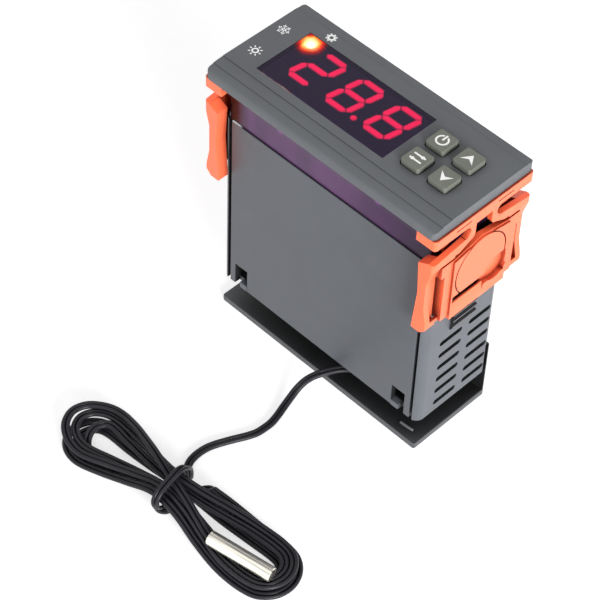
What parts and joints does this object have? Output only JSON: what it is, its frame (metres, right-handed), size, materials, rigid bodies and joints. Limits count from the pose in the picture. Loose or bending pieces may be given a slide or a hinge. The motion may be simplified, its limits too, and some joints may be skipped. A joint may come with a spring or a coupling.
{
  "type": "temperature controller",
  "caption": "Panel-mounted digital temperature controller with lit display, keys, spring clips, rear cover and a wired probe.",
  "frame": {"origin": "centre of the rear cover's underside, on which the controller stands", "axes": "+Z out of the display face, +X the reading direction of the digits, +Y towards the tops of the digits"},
  "size_m": [0.0828, 0.0957, 0.0865],
  "materials": {
    "bezel_grey": "fine matte moulded plastic",
    "shell_grey": "smooth matte moulded plastic",
    "smoked": "smoked purple translucent plastic",
    "key_grey": "soft matte rubbery plastic",
    "orange": "satin moulded plastic",
    "black": "matte moulded plastic",
    "display": "gloss moulded plastic",
    "segment_red": "lit segments",
    "lamp_lit": "lit lamp",
    "lamp_off": "unlit lamp",
    "board_green": "solder-masked laminate",
    "core_steel": "laminated steel",
    "coil_tape": "taped winding",
    "relay_blue": "gloss moulded plastic",
    "cap_sleeve": "shrunk sleeve",
    "terminal_green": "moulded plastic",
    "screw_steel": "plated steel",
    "brass": "bright brass",
    "cord_black": "soft satin jacket",
    "probe_steel": "bright drawn steel"
  },
  "bodies": {
    "case": {"front_bezel": "bezel_grey", "front_frame": "smoked", "switch_bodies": "black", "display_module": "display", "display_segments": "segment_red", "indicator_lit": "lamp_lit", "indicators_off": "lamp_off", "display_board": "board_green", "board_link": "black", "main_board": "board_green", "transformer_core": "core_steel", "transformer_coil": "coil_tape", "relay_cooling": "relay_blue", "relay_heating": "relay_blue", "capacitors": "cap_sleeve", "buzzer": "black", "terminal_block": "terminal_green", "terminal_screws": "screw_steel", "terminal_clamps": "brass", "housing": "shell_grey", "side_panel": "shell_grey", "rear_cover": "shell_grey", "lead_cores": "cord_black", "probe_lead": "cord_black", "probe_hank": "cord_black", "probe_tip": "probe_steel"},
    "key_power": {"button_power": "key_grey", "plunger_power": "black"},
    "key_set": {"button_set": "key_grey", "plunger_set": "black"},
    "key_up": {"button_up": "key_grey", "plunger_up": "black"},
    "key_down": {"button_down": "key_grey", "plunger_down": "black"},
    "clip_left": {"clip_left": "orange"},
    "clip_right": {"clip_right": "orange"}
  },
  "joints": [
    {"name": "press_power", "type": "slide", "parent": "case", "child": "key_power", "axis": [0, 0, -1], "range_m": [0, 0.0005], "stiffness_N_per_m": 400, "springref_m": -0.0015},
    {"name": "press_set", "type": "slide", "parent": "case", "child": "key_set", "axis": [0, 0, -1], "range_m": [0, 0.0005], "stiffness_N_per_m": 400, "springref_m": -0.0015},
    {"name": "press_up", "type": "slide", "parent": "case", "child": "key_up", "axis": [0, 0, -1], "range_m": [0, 0.0005], "stiffness_N_per_m": 400, "springref_m": -0.0015},
    {"name": "press_down", "type": "slide", "parent": "case", "child": "key_down", "axis": [0, 0, -1], "range_m": [0, 0.0005], "stiffness_N_per_m": 400, "springref_m": -0.0015},
    {"name": "slide_clip_left", "type": "slide", "parent": "case", "child": "clip_left", "axis": [0, 0, -1], "range_m": [0, 0.016]},
    {"name": "slide_clip_right", "type": "slide", "parent": "case", "child": "clip_right", "axis": [0, 0, -1], "range_m": [0, 0.016]}
  ]
}
